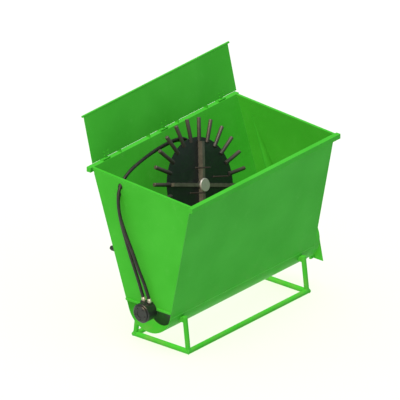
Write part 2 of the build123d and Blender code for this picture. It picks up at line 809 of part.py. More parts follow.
def motor_body():
    """Motor housing, bored for its shaft and pocketed over the flange bolts."""
    body = on_auger(-MOTOR_LENGTH, -MOTOR_FLANGE, MOTOR_RADIUS)
    body = body.chamfer(MOTOR_CHAMFER, None, body.edges().filter_by(GeomType.CIRCLE).sort_by(Axis.X)[:1])
    bore_end = -MOTOR_SHAFT_DEPTH - MOTOR_BORE_PLAY
    body = body - on_auger(bore_end, -MOTOR_FLANGE, MOTOR_SHAFT_RADIUS + RUNNING_FIT)
    for start, _ in motor_bolt_places():
        pocket_start = (start[0] - 2 * MOTOR_BOLT, start[1], start[2])
        body = body - rod(pocket_start, start, MOTOR_BOLT_POCKET)
    return body


def motor_cover():
    """Raised round cover on the motor's outer end."""
    outer = -MOTOR_LENGTH - MOTOR_COVER
    cover = on_auger(outer, -MOTOR_LENGTH, MOTOR_COVER_RADIUS)
    cover = cover.chamfer(COVER_CHAMFER, None, cover.edges().filter_by(GeomType.CIRCLE).sort_by(Axis.X)[:1])
    return cover - on_auger(outer, outer + COVER_RECESS, MOTOR_COVER_RADIUS * 0.45)


def motor_screws():
    """Socket screws on the cover."""
    screws = []
    outer = -MOTOR_LENGTH - MOTOR_COVER
    for index in range(SCREW_COUNT):
        centre = Plane((outer, 0, -AUGER_DROP), z_dir=(-1, 0, 0)).location
        spot = centre * Rot(0, 0, 360 / SCREW_COUNT * index) * Pos(SCREW_CIRCLE, 0, 0)
        socket = Pos(0, 0, SCREW_HEIGHT / 2) * extrude(RegularPolygon(SCREW_RADIUS / 2, 6), SCREW_HEIGHT)
        screw = Solid.make_cylinder(SCREW_RADIUS, SCREW_HEIGHT) - socket
        screws.append((spot * screw).solid())
    return screws


def motor_port_block():
    """Block on top of the motor that holds both hose fittings."""
    low = (-PORT_REACH - PORT_HALF, -PORT_SPREAD - PORT_HALF, PORT_FOOT)
    high = (-PORT_REACH + PORT_HALF, PORT_SPREAD + PORT_HALF, PORT_TOP)
    ports = block(low, high) - on_auger(low[0], high[0], MOTOR_RADIUS)
    return ports.chamfer(PORT_CHAMFER, None, ports.edges().filter_by(Axis.X).sort_by(Axis.Z)[-2:])


def hose_fitting(foot, head):
    """Hexagon adaptor, and the ferrule that is crimped on the hose."""
    foot = Vector(*foot)
    head = Vector(*head)
    collar_end = foot + (head - foot).normalized() * ADAPTOR_HEIGHT
    return hex_prism(foot, collar_end, ADAPTOR_FLATS), rod(collar_end, head, FERRULE_RADIUS)


def motor_fitting(side):
    """Upright adaptor on the auger motor, with a ferrule that leans to the rear."""
    foot = Vector(-PORT_REACH, side * PORT_SPREAD, PORT_TOP)
    collar_end = foot + Vector(0, 0, ADAPTOR_HEIGHT)
    lean = Vector(0, sin(radians(MOTOR_HOSE_LEAN)), cos(radians(MOTOR_HOSE_LEAN)))
    ferrule = rod(collar_end - lean * FERRULE_RADIUS, collar_end + lean * MOTOR_FERRULE, FERRULE_RADIUS)
    ferrule = ferrule.split(Plane(collar_end, z_dir=(0, 0, 1)), keep=Keep.TOP)
    return hex_prism(foot, collar_end, ADAPTOR_FLATS), ferrule


# Agitator

def agitator_disc():
    """Round plate, with its shaft bore."""
    disc = AGITATOR_PLANE * Pos(0, 0, -DISC_PLATE) * Solid.make_cylinder(DISC_RADIUS, DISC_PLATE)
    return disc - agitator_shaft()


def agitator_shaft():
    """Shaft from the motor to the hub."""
    start = at_agitator(0, 0, -DRIVE_PLATE_BACK - SHAFT_TAIL)
    return rod(start, at_agitator(0, 0, SHAFT_GRIP), SHAFT_RADIUS)


def agitator_hub():
    """Bright cap on the shaft's end, over the arms."""
    hub = Pos(0, 0, ARM_HEIGHT) * Solid.make_cylinder(HUB_RADIUS, HUB_HEIGHT - ARM_HEIGHT)
    hub = hub.chamfer(HUB_CHAMFER, None, hub.edges().filter_by(GeomType.CIRCLE).sort_by(Axis.Z)[-1:])
    return AGITATOR_PLANE.location * hub - agitator_shaft()


def hub_core():
    """Sleeve on the shaft that the arms meet."""
    return AGITATOR_PLANE.location * Solid.make_cylinder(HUB_CORE_RADIUS, ARM_HEIGHT) - agitator_shaft()


def hub_flange():
    """Flange behind the disc."""
    start = at_agitator(0, 0, -DISC_PLATE - HUB_FLANGE)
    return rod(start, at_agitator(0, 0, -DISC_PLATE), HUB_RADIUS) - agitator_shaft()


def around(shape, phase, count):
    """Copies of a piece that points up the wall, turned about the disc's axis."""
    turns = [Rot(0, 0, -(phase + 360 / count * index)) for index in range(count)]
    return [AGITATOR_PLANE.location * turn * shape for turn in turns]


def tines():
    """Round fingers, notched over the disc's rim."""
    tine = rod((0, TINE_ROOT, 0), (0, TINE_TIP, 0), TINE_RADIUS)
    tine = tine.chamfer(TINE_CHAMFER, None, tine.edges().filter_by(GeomType.CIRCLE).sort_by(Axis.Y)[-1:])
    tine = tine - Pos(0, 0, -DISC_PLATE) * Solid.make_cylinder(DISC_RADIUS, DISC_PLATE)
    return around(tine, TINE_PHASE, TINE_COUNT)


def arms():
    """Upright bars from the hub's sleeve to the rim."""
    arm = block((-ARM_WIDTH / 2, HUB_CORE_RADIUS / 2, 0), (ARM_WIDTH / 2, TINE_ROOT - ARM_END_GAP, ARM_HEIGHT))
    return around(arm - Solid.make_cylinder(HUB_CORE_RADIUS, ARM_HEIGHT), TINE_PHASE, ARM_COUNT)


def studs():
    """Thin pins that stand on the disc, each on its own circle."""
    pins = []
    for circle, turn in STUD_PLACES:
        foot = Pos(circle * sin(radians(turn)), circle * cos(radians(turn)))
        pins.append(AGITATOR_PLANE.location * foot * Solid.make_cylinder(STUD_RADIUS, STUD_LENGTH))
    return pins


def pedestal_bolt_places():
    """Grip of the four bolts through the rear wall."""
    places = []
    circle = PEDESTAL_RADIUS - PEDESTAL_BOLT_INSET
    for x, v in ((1, 1), (1, -1), (-1, 1), (-1, -1)):
        side = circle / sqrt(2)
        outside = at_agitator(x * side, v * side, -AGITATOR_STANDOFF - SHEET)
        inside = at_agitator(x * side, v * side, -AGITATOR_STANDOFF + PEDESTAL_PLATE)
        places.append((outside, inside))
    return places


def pedestal():
    """Base plate, and the four legs that stand on it."""
    foot = -AGITATOR_STANDOFF
    base = rod(at_agitator(0, 0, foot), at_agitator(0, 0, foot + PEDESTAL_PLATE), PEDESTAL_RADIUS)
    for start, end in pedestal_bolt_places():
        base = base - rod(start, end, PEDESTAL_BOLT + HOLE_PLAY)
    legs = []
    for x, v in ((1, 0), (-1, 0), (0, 1), (0, -1)):
        leg_foot = at_agitator(x * PEDESTAL_LEG_CIRCLE, v * PEDESTAL_LEG_CIRCLE, foot + PEDESTAL_PLATE)
        leg_head = at_agitator(x * PEDESTAL_LEG_CIRCLE, v * PEDESTAL_LEG_CIRCLE, -DRIVE_PLATE_BACK)
        legs.append(rod(leg_foot, leg_head, PEDESTAL_LEG))
    return [base, *legs]


def drive_plate():
    """Front plate of the pedestal, which carries the motor and the bearing."""
    start = at_agitator(0, 0, -DRIVE_PLATE_BACK)
    end = at_agitator(0, 0, -DRIVE_PLATE_BACK + DRIVE_PLATE)
    return rod(start, end, DRIVE_PLATE_RADIUS) - rod(start, end, SHAFT_RADIUS + DRIVE_PLATE_PLAY)


def drive_bearing():
    """Flanged bearing in front of the drive plate."""
    start = at_agitator(0, 0, -DRIVE_PLATE_BACK + DRIVE_PLATE)
    end = at_agitator(0, 0, -DRIVE_PLATE_BACK + DRIVE_PLATE + BEARING_DEPTH)
    return rod(start, end, BEARING_RADIUS) - rod(start, end, SHAFT_RADIUS + RUNNING_FIT)


def agitator_motor():
    """Motor between the legs, with its mounting flange and a block for two ports."""
    back = -DRIVE_PLATE_BACK - DRIVE_LENGTH
    body = rod(at_agitator(0, 0, back), at_agitator(0, 0, -DRIVE_PLATE_BACK - DRIVE_FLANGE), DRIVE_RADIUS)
    flange_start = at_agitator(0, 0, -DRIVE_PLATE_BACK - DRIVE_FLANGE)
    body = body + rod(flange_start, at_agitator(0, 0, -DRIVE_PLATE_BACK), DRIVE_RADIUS + DRIVE_FLANGE_LIP)
    half = DRIVE_PORT_SPREAD + DRIVE_PORT_MARGIN
    corner = Plane((-PORT_HALF, 0, -DRIVE_PORT_BACK - half))
    ports = Solid.make_box(2 * PORT_HALF, DRIVE_PORT_TOP, 2 * half, corner)
    body = body + AGITATOR_PLANE.location * Rot(0, 0, -45) * ports
    shaft_end = at_agitator(0, 0, -DRIVE_PLATE_BACK - SHAFT_TAIL - SHAFT_END_GAP)
    return body - rod(shaft_end, at_agitator(0, 0, 0), SHAFT_RADIUS + RUNNING_FIT)


def drive_port(side, reach):
    """Point over one of the agitator motor's two ports."""
    half = reach / sqrt(2)
    return at_agitator(half, half, -DRIVE_PORT_BACK + side * DRIVE_PORT_SPREAD)


# Hydraulic supply

def coupler_block():
    """Wedge on the rear wall with an upright face for the couplers."""
    low = COUPLER_HEIGHT - COUPLER_RADIUS - COUPLER_BLOCK_MARGIN
    high = COUPLER_HEIGHT + COUPLER_RADIUS + COUPLER_BLOCK_MARGIN
    face = COUPLER_BLOCK_REACH
    outline = [(rear_y(low), low), (face, low), (face, high), (rear_y(high), high)]
    side = COUPLER_RADIUS + COUPLER_BLOCK_MARGIN
    return prism(outline, min(COUPLER_PLACES) - side, max(COUPLER_PLACES) + side)


def coupler(x):
    """Quick coupler: hexagon, sleeve and a stepped nose."""
    y = COUPLER_BLOCK_REACH
    hexagon_end = y + COUPLER_HEXAGON
    sleeve_end = COUPLER_REACH - COUPLER_NOSE
    hexagon = hex_prism((x, y, COUPLER_HEIGHT), (x, hexagon_end, COUPLER_HEIGHT), 1.75 * COUPLER_RADIUS)
    sleeve = rod((x, hexagon_end, COUPLER_HEIGHT), (x, sleeve_end, COUPLER_HEIGHT), COUPLER_RADIUS)
    nose = rod((x, sleeve_end, COUPLER_HEIGHT), (x, COUPLER_REACH, COUPLER_HEIGHT), COUPLER_RADIUS * 0.8)
    return (hexagon + sleeve + nose).solid()


# Hoses

def corner_radii(points):
    """Largest arc that each corner's two runs allow."""
    radii = []
    for before, corner, after in zip(points, points[1:], points[2:]):
        arriving = Vector(*corner) - Vector(*before)
        leaving = Vector(*after) - Vector(*corner)
        half_turn = radians(arriving.get_angle(leaving)) / 2
        radii.append(BEND_SHARE * min(arriving.length, leaving.length) / tan(half_turn))
    return radii


def hose(name, points):
    """Tube of straight runs joined by arcs. Prints its radii, and its volume against its length."""
    radii = corner_radii(points)
    path = FilletPolyline(*[Vector(*point) for point in points], radius=radii)
    start = Plane(path @ 0, z_dir=path % 0)
    tube = sweep(start * Circle(HOSE_RADIUS), path=path).solid()
    expected = path.length * Face(Wire.make_circle(HOSE_RADIUS)).area
    print(name, "length", round(path.length), "volume / expected", round(tube.volume / expected, 4))
    print(name, "radii", [round(radius) for radius in radii])
    return tube


def wall_crossing(points, run):
    """Middle of the run that goes through the wall, and its direction."""
    start = Vector(*points[run])
    end = Vector(*points[run + 1])
    return (start + end) / 2, (end - start).normalized()


def grommet_bar(points, run, radius, length):
    """Round bar along the run that goes through the wall."""
    middle, way = wall_crossing(points, run)
    return rod(middle - way * length / 2, middle + way * length / 2, radius)


def grommet(points, run):
    """Rubber sleeve round a hose where it goes through the wall."""
    outer = grommet_bar(points, run, HOSE_RADIUS + GROMMET_WALL, GROMMET_LENGTH)
    return outer - grommet_bar(points, run, HOSE_RADIUS + GROMMET_PLAY, GROMMET_LENGTH)


# Assembly

def drilled_motor_wall():
    """End wall on the motor's side, open below the trough's axis, with its holes."""
    wall = prism(end_outline(0, END_BAR), 0, SHEET)
    wall = wall - on_auger(0, SHEET, MOTOR_SHAFT_RADIUS + COUPLING_RADIUS)
    for start, end in motor_bolt_places():
        wall = wall - rod(start, end, MOTOR_BOLT + HOLE_PLAY)
    for points in (PRESSURE_HOSE, RETURN_HOSE):
        wall = wall - grommet_bar(points, WALL_RUN, HOSE_RADIUS + GROMMET_WALL, 3 * GROMMET_LENGTH)
    return wall


def drilled_rear_wall():
    """Rear wall with the holes for the pedestal's bolts."""
    wall = wall_sheet(REAR_LEAN, 1, rear_y, REAR_RIM)
    for start, end in pedestal_bolt_places():
        wall = wall - rod(start, end, PEDESTAL_BOLT + HOLE_PLAY)
    return wall


def build():
    """Every piece by node name, about the trough's axis."""
    corners = [(x_side, y_side) for x_side in (-1, 1) for y_side in (-1, 1)]
    front_rail, front_caps = rim_rail(FRONT_RAIL_FACE - RAIL, FRONT_RIM)
    rear_rail, rear_caps = rim_rail(REAR_RAIL_FACE, REAR_RIM)
    adaptors = []
    ferrules = []
    for side in (-1, 1):
        drive_fitting = hose_fitting(drive_port(side, DRIVE_PORT_TOP), drive_port(side, DRIVE_HOSE_START))
        for adaptor, ferrule in (motor_fitting(side), drive_fitting):
            adaptors.append(adaptor)
            ferrules.append(ferrule)
    gusset_places = [HOPPER_LENGTH * share for share in (0.2, 0.4, 0.6, 0.8)]
    return {
        "front_wall": wall_sheet(FRONT_LEAN, -1, front_y, FRONT_RIM),
        "rear_wall": drilled_rear_wall(),
        "trough": trough(),
        "motor_end_wall": drilled_motor_wall(),
        "outlet_end_wall": outlet_wall(),
        "outlet_cone": outlet_cone(),
        "outlet_collar": outlet_collar(),
        "rim_rails": [front_rail, rear_rail],
        "rail_caps": front_caps + rear_caps,
        "end_bars": [end_bar(x) for x in (-END_BAR_OUTSIDE, HOPPER_LENGTH + END_BAR_OUTSIDE - END_BAR)],
        "end_wall_lips": end_lips(),
        "skid_rails": [hollow(skid_rail, side) for side in (-1, 1)],
        "skid_cross_tubes": [hollow(skid_cross, side) for side in (-1, 1)],
        "skid_posts": [skid_post(*corner) for corner in corners],
        "post_caps": [post_cap(*corner) for corner in corners],
        "post_pads": [post_pad(*corner) for corner in corners],
        "outlet_bridge": outlet_bridge(),
        "outlet_bearing": outlet_bearing(),
        "flap_lugs": flap_lugs(),
        "flap_pin": flap_pin(),
        "flap_stops": flap_stops(),
        "flap_tube": flap_tube(),
        "discharge_flap": discharge_flap(),
        "rear_board": rear_board(),
        "board_top_rod": board_rod(),
        "board_hinge_straps": [hinge_strap(x) for x in HINGE_PLACES],
        "board_hinge_bolts": [bolt(start, end, BOARD_BOLT) for start, end in board_bolt_places()],
        "board_hinge_bases": [hinge_base(x) for x in HINGE_PLACES],
        "board_hinge_pins": [hinge_pin(x) for x in HINGE_PLACES],
        "board_stops": [board_stop(x) for x in gusset_places],
        "auger_tube": auger_tube(),
        "auger_flights": [flight(index) for index in range(FLIGHT_COUNT)],
        "auger_stub_shafts": auger_stubs(),
        "auger_coupling": auger_coupling(),
        "auger_motor_shaft": auger_motor_shaft(),
        "auger_motor_flange": motor_flange(),
        "auger_motor_body": motor_body(),
        "auger_motor_cover": motor_cover(),
        "auger_motor_screws": motor_screws(),
        "auger_motor_ports": motor_port_block(),
        "auger_motor_bolts": [bolt(start, end, MOTOR_BOLT) for start, end in motor_bolt_places()],
        "agitator_disc": agitator_disc(),
        "agitator_tines": tines(),
        "agitator_arms": arms(),
        "agitator_studs": studs(),
        "agitator_hub": agitator_hub(),
        "agitator_hub_sleeves": [hub_flange(), hub_core()],
        "agitator_shaft": agitator_shaft(),
        "agitator_pedestal": pedestal(),
        "agitator_drive_plate": drive_plate(),
        "agitator_bearing": drive_bearing(),
        "agitator_motor": agitator_motor(),
        "pedestal_bolts": [bolt(start, end, PEDESTAL_BOLT) for start, end in pedestal_bolt_places()],
        "hose_adaptors": adaptors,
        "hose_ferrules": ferrules,
        "coupler_block": coupler_block(),
        "supply_couplers": [coupler(x) for x in COUPLER_PLACES],
        "pressure_hose": hose("pressure hose", PRESSURE_HOSE),
        "return_hose": hose("return hose", RETURN_HOSE),
        "hose_grommets": [grommet(points, WALL_RUN) for points in (PRESSURE_HOSE, RETURN_HOSE)],
    }


CORDS = ("pressure_hose", "return_hose")


def solids_of(shape):
    """Flat list of the solids in a shape or a list of shapes."""
    if isinstance(shape, list):
        return [solid for item in shape for solid in solids_of(item)]
    return list(shape.solids())


def main():
    """Writes one STEP file for each node."""
    os.makedirs("parts", exist_ok=True)
    pieces = {name: solids_of(shape) for name, shape in build().items()}
    fixed = [solid for name, solids in pieces.items() if name not in CORDS for solid in solids]
    box = Compound(fixed).bounding_box()
    origin = Vector((box.min.X + box.max.X) / 2, (box.min.Y + box.max.Y) / 2, box.min.Z)
    print("size", box.size, "origin", origin)
    for name, solids in pieces.items():
        placed = [Pos(origin * -1) * solid for solid in solids]
        export_step(Compound(placed), f"parts/{name}.step")


main()
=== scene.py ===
"""Looks of a skid-mounted hopper with a finger disc and an auger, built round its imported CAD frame."""
import json
import math

import bmesh
import bpy
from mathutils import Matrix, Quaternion, Vector


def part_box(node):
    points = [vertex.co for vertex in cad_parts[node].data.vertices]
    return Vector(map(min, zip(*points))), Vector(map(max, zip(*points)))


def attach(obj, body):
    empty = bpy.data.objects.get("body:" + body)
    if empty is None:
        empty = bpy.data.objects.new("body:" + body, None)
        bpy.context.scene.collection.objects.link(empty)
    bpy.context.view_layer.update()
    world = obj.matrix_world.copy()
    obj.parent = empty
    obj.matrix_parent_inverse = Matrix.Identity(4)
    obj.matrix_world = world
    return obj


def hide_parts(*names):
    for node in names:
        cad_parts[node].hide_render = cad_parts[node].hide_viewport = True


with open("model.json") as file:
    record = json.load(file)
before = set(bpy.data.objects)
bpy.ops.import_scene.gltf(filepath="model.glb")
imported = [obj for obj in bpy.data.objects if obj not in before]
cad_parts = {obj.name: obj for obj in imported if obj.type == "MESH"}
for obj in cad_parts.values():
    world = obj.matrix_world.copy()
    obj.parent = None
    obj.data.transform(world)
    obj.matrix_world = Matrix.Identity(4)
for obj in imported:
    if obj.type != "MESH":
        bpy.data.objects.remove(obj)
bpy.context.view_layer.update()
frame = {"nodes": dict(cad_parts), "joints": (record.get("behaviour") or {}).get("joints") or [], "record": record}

# Places that come from the frame, in metres
TROUGH_LOW, TROUGH_HIGH = (Vector(corner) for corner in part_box("trough"))
COLLAR_LOW, COLLAR_HIGH = (Vector(corner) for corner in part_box("outlet_collar"))
AXIS_START = Vector((
    TROUGH_LOW.x,
    (COLLAR_LOW.y + COLLAR_HIGH.y) / 2,
    (COLLAR_LOW.z + COLLAR_HIGH.z) / 2,
))
HOPPER_LENGTH = TROUGH_HIGH.x - TROUGH_LOW.x
JOINTS = {joint["name"]: joint for joint in frame["joints"]}
DISC_CENTRE = Vector(JOINTS["agitator_spin"]["pos_m"])
DISC_NORMAL = Vector(JOINTS["agitator_spin"]["axis"]).normalized()
DISC_UP = DISC_NORMAL.cross(Vector((1, 0, 0))).normalized()
AUGER_AXIS = Vector(JOINTS["auger_spin"]["pos_m"])

# Camera, in degrees and metres
CAMERA_AZIMUTH = -50.6
CAMERA_ELEVATION = 24.8
CAMERA_DISTANCE = 8
VIEW_WIDTH = 3.528
VIEW_RIGHT = 0.4472
VIEW_UP = 0.9464

# Sizes of the hopper and skid that the detail follows, in metres and radians
REAR_LEAN = math.radians(18.3)
FRONT_LEAN = math.radians(11.2)
REAR_RIM = 1.173
FRONT_RIM = 1.112
TROUGH_RADIUS = 0.245
SHEET = 0.004
SKID_LENGTH = 1.647
SKID_WIDTH = 0.600
SKID_DROP = 0.406
SKID_RADIUS = 0.024
POST_RADIUS = 0.0225
POST_DROP = 0.080
POST_REACH = 0.262
PAD_HALF = 0.020
PAD_HEIGHT = 0.050

# Sizes of the finger disc and the screw, in metres and radians
CORE_RADIUS = 0.032
DISC_RADIUS = 0.427
TINE_RADIUS = 0.018
TINE_ROOT = 0.392
TINE_COUNT = 24
TINE_PHASE = math.radians(19.2)
ARM_COUNT = 4
ARM_HALF_WIDTH = 0.015
STUD_RADIUS = 0.0065
STUD_PLACES = ((0.159, 1.6), (0.196, 86.5), (0.178, 171.0), (0.144, 259.3))
FLIGHT_COUNT = 6
AUGER_TUBE = 0.038

# Hoses and their ferrules, in metres
HOSE_DIAMETER = 0.030
FERRULE_RADIUS = 0.019
MOTOR_FERRULE = 0.022
DRIVE_FERRULE = 0.016

# Radii of the weld beads, in metres
FINE_BEAD = 0.0022
STUD_BEAD = 0.0024
RIM_BEAD = 0.0026
SEAM_BEAD = 0.0028
ARM_END_BEAD = 0.0030
CORNER_BEAD = 0.0032
HUB_BEAD = 0.0035
FOOT_BEAD = 0.0036
FLIGHT_BEAD = 0.0038

# Hose routes about the trough's axis at the motor end, in metres
PRESSURE_ROUTE = [
    (-0.037, -0.0255, 0.1027),
    (-0.037, 0.0002, 0.1732),
    (-0.050, 0.031, 0.268),
    (-0.062, 0.073, 0.368),
    (-0.067, 0.122, 0.490),
    (-0.070, 0.182, 0.612),
    (-0.071, 0.238, 0.730),
    (-0.070, 0.281, 0.835),
    (-0.062, 0.305, 0.935),
    (-0.038, 0.322, 1.037),
    (0.042, 0.340, 1.117),
    (0.140, 0.346, 1.163),
    (0.275, 0.358, 1.191),
    (0.440, 0.391, 1.194),
    (0.610, 0.433, 1.181),
    (0.780, 0.453, 1.175),
    (0.930, 0.459, 1.166),
    (1.050, 0.464, 1.135),
    (1.128, 0.455, 1.060),
    (1.165, 0.436, 0.965),
    (1.1471, 0.4036, 0.8603),
    (1.0693, 0.3791, 0.7865),
]
RETURN_ROUTE = [
    (-0.037, 0.0405, 0.1027),
    (-0.037, 0.0662, 0.1732),
    (-0.040, 0.098, 0.262),
    (-0.044, 0.131, 0.350),
    (-0.043, 0.178, 0.455),
    (-0.038, 0.228, 0.575),
    (-0.035, 0.272, 0.688),
    (-0.035, 0.303, 0.785),
    (-0.034, 0.322, 0.882),
    (-0.022, 0.336, 0.965),
    (0.026, 0.352, 1.040),
    (0.100, 0.370, 1.103),
    (0.200, 0.381, 1.149),
    (0.320, 0.395, 1.166),
    (0.455, 0.421, 1.166),
    (0.620, 0.462, 1.153),
    (0.790, 0.482, 1.147),
    (0.940, 0.489, 1.139),
    (1.056, 0.493, 1.108),
    (1.136, 0.487, 1.040),
    (1.172, 0.471, 0.945),
    (1.1471, 0.4568, 0.8427),
    (1.0693, 0.4323, 0.7689),
]
PRESSURE_LENGTH = 2.58
RETURN_LENGTH = 2.50


# Camera, light and floor

def add_camera():
    """Orthographic camera from the front left, a little above the rim."""
    azimuth, elevation = math.radians(CAMERA_AZIMUTH), math.radians(CAMERA_ELEVATION)
    back = Vector((
        math.sin(azimuth) * math.cos(elevation),
        -math.cos(azimuth) * math.cos(elevation),
        math.sin(elevation),
    ))
    right = Vector((0, 0, 1)).cross(back).normalized()
    up = back.cross(right)
    data = bpy.data.cameras.new("camera")
    data.type = "ORTHO"
    data.ortho_scale = VIEW_WIDTH
    data.clip_end = 40
    camera = bpy.data.objects.new("camera", data)
    camera.location = AXIS_START + right * VIEW_RIGHT + up * VIEW_UP + back * CAMERA_DISTANCE
    camera.rotation_euler = (-back).to_track_quat("-Z", "Y").to_euler()
    bpy.context.collection.objects.link(camera)
    bpy.context.scene.camera = camera


def add_sun(name, source, strength, spread, colour, shadows=True):
    """Soft light that comes from one direction."""
    data = bpy.data.lights.new(name, "SUN")
    data.energy = strength
    data.angle = math.radians(spread)
    data.color = colour
    data.use_shadow = shadows
    light = bpy.data.objects.new(name, data)
    light.location = Vector(source) * 6
    light.rotation_euler = (-Vector(source)).to_track_quat("-Z", "Y").to_euler()
    bpy.context.collection.objects.link(light)


def add_studio():
    """World, two soft lights that cast no shadow, and a plain pale floor."""
    world = bpy.data.worlds.new("studio")
    world.use_nodes = True
    background = world.node_tree.nodes["Background"]
    background.inputs["Color"].default_value = (0.84, 0.98, 1.0, 1)
    background.inputs["Strength"].default_value = 0.40
    bpy.context.scene.world = world
    bpy.context.scene.view_settings.view_transform = "Standard"
    add_sun("key_light", (-0.80, -0.04, 0.72), 2.45, 20, (1.0, 0.70, 0.44), False)
    add_sun("top_light", (-0.15, -0.10, 1.0), 2.6, 30, (1.0, 0.93, 0.80), False)
    mesh = bpy.data.meshes.new("studio_floor")
    maker = bmesh.new()
    bmesh.ops.create_circle(maker, cap_ends=True, segments=96, radius=16)
    maker.to_mesh(mesh)
    maker.free()
    floor = bpy.data.objects.new("studio_floor", mesh)
    floor.location = (0, 0, -0.001)
    bpy.context.collection.objects.link(floor)
    material, nodes, links, shader = new_material("floor_white", 0.9, 0)
    shader.inputs["Base Color"].default_value = (0.64, 0.72, 0.80, 1)
    floor.data.materials.append(material)


# Materials

def new_material(name, roughness, metallic):
    """Material with a Principled shader, and its node tree's parts."""
    material = bpy.data.materials.new(name)
    material.use_nodes = True
    nodes = material.node_tree.nodes
    shader = nodes["Principled BSDF"]
    shader.inputs["Roughness"].default_value = roughness
    shader.inputs["Metallic"].default_value = metallic
    return material, nodes, material.node_tree.links, shader


def noise(nodes, links, vector, scale, detail=4):
    """Noise texture over object coordinates."""
    node = nodes.new("ShaderNodeTexNoise")
    node.inputs["Scale"].default_value = scale
    node.inputs["Detail"].default_value = detail
    links.new(vector, node.inputs["Vector"])
    return node.outputs["Fac"]


def math_node(nodes, links, operation, first, second=None, clamp=False):
    """Math node whose inputs are sockets or numbers."""
    node = nodes.new("ShaderNodeMath")
    node.operation = operation
    node.use_clamp = clamp
    for socket, value in zip(node.inputs, (first, second)):
        if value is None:
            continue
        if isinstance(value, (int, float)):
            socket.default_value = value
        else:
            links.new(value, socket)
    return node.outputs[0]


def ramp(nodes, links, value, low, high):
    """Value from 0 to 1 as the input goes from low to high."""
    node = nodes.new("ShaderNodeMapRange")
    node.clamp = True
    node.inputs["From Min"].default_value = low
    node.inputs["From Max"].default_value = high
    links.new(value, node.inputs["Value"])
    return node.outputs["Result"]


def mix_colour(nodes, links, share, first, second):
    """Colour between two colours or sockets."""
    node = nodes.new("ShaderNodeMix")
    node.data_type = "RGBA"
    links.new(share, node.inputs["Factor"])
    sockets = [socket for socket in node.inputs if socket.type == "RGBA"]
    for socket, value in zip(sockets, (first, second)):
        if isinstance(value, tuple):
            socket.default_value = (*value, 1)
        else:
            links.new(value, socket)
    return next(socket for socket in node.outputs if socket.type == "RGBA")


def object_coordinates(nodes):
    """Coordinates in the row frame, which move with the piece."""
    return nodes.new("ShaderNodeTexCoord").outputs["Object"]


def bump(nodes, links, shader, layers):
    """Normal from height layers of (socket, distance)."""
    normal = None
    for height, distance in layers:
        node = nodes.new("ShaderNodeBump")
        node.inputs["Strength"].default_value = 1.0
        node.inputs["Distance"].default_value = distance
        links.new(height, node.inputs["Height"])
        if normal is not None:
            links.new(normal, node.inputs["Normal"])
        normal = node.outputs["Normal"]
    links.new(normal, shader.inputs["Normal"])


def vary_roughness(nodes, links, shader, share, low, high):
    """Roughness that goes from low to high with a socket."""
    node = nodes.new("ShaderNodeMapRange")
    links.new(share, node.inputs["Value"])
    node.inputs["To Min"].default_value = low
    node.inputs["To Max"].default_value = high
    links.new(node.outputs["Result"], shader.inputs["Roughness"])


def distance_from(nodes, links, coordinates, point):
    """Distance of each place from a point."""
    node = nodes.new("ShaderNodeVectorMath")
    node.operation = "DISTANCE"
    links.new(coordinates, node.inputs[0])
    node.inputs[1].default_value = point
    return node.outputs["Value"]


def green_paint():
    """Satin enamel on sheet and tube, with faint dents, orange peel, dust and scuffs."""
    material, nodes, links, shader = new_material("green_enamel", 0.4, 0)
    where = object_coordinates(nodes)
    broad = noise(nodes, links, where, 2.3, 3)
    cloudy = noise(nodes, links, where, 11, 6)
    speckle = noise(nodes, links, where, 160, 3)
    tone = ramp(nodes, links, broad, 0.35, 0.7)
    colour = mix_colour(nodes, links, tone, (0.040, 0.390, 0.026), (0.052, 0.440, 0.036))
    scuffs = ramp(nodes, links, math_node(nodes, links, "MULTIPLY", cloudy, speckle), 0.33, 0.46)
    scuffs = math_node(nodes, links, "MULTIPLY", scuffs, 0.45)
    colour = mix_colour(nodes, links, scuffs, colour, (0.10, 0.50, 0.08))
    height = nodes.new("ShaderNodeSeparateXYZ")
    links.new(where, height.inputs["Vector"])
    low = ramp(nodes, links, height.outputs["Z"], 0.55, 0.0)
    dust = math_node(nodes, links, "MULTIPLY", low, ramp(nodes, links, cloudy, 0.42, 0.75))
    dust = math_node(nodes, links, "MULTIPLY", dust, 0.35)
    colour = mix_colour(nodes, links, dust, colour, (0.20, 0.25, 0.10))
    links.new(colour, shader.inputs["Base Color"])
    vary_roughness(nodes, links, shader, cloudy, 0.34, 0.52)
    shader.inputs["Specular IOR Level"].default_value = 0.06
    bump(nodes, links, shader, [(broad, 0.006), (noise(nodes, links, where, 420, 2), 0.00025)])
    return material


def black_paint():
    """Satin black paint, rubbed in rings by the load."""
    material, nodes, links, shader = new_material("black_satin", 0.42, 0)
    where = object_coordinates(nodes)
    cloudy = noise(nodes, links, where, 14, 6)
    fine = noise(nodes, links, where, 240, 3)
    radius = distance_from(nodes, links, where, DISC_CENTRE)
    wobble = math_node(nodes, links, "MULTIPLY", cloudy, 0.03)
    phase = math_node(nodes, links, "MULTIPLY", math_node(nodes, links, "ADD", radius, wobble), 520)
    rings = ramp(nodes, links, math_node(nodes, links, "SINE", phase), 0.55, 1.0)
    rubbed = math_node(nodes, links, "MULTIPLY", rings, ramp(nodes, links, cloudy, 0.45, 0.7))
    rubbed = math_node(nodes, links, "MULTIPLY", rubbed, 0.5)
    colour = mix_colour(nodes, links, rubbed, (0.0075, 0.0125, 0.0135), (0.03, 0.036, 0.04))
    dust = math_node(nodes, links, "MULTIPLY", ramp(nodes, links, fine, 0.55, 0.75), 0.25)
    colour = mix_colour(nodes, links, dust, colour, (0.05, 0.055, 0.052))
    links.new(colour, shader.inputs["Base Color"])
    vary_roughness(nodes, links, shader, cloudy, 0.32, 0.40)
    bump(nodes, links, shader, [(cloudy, 0.0012), (fine, 0.00025)])
    return material


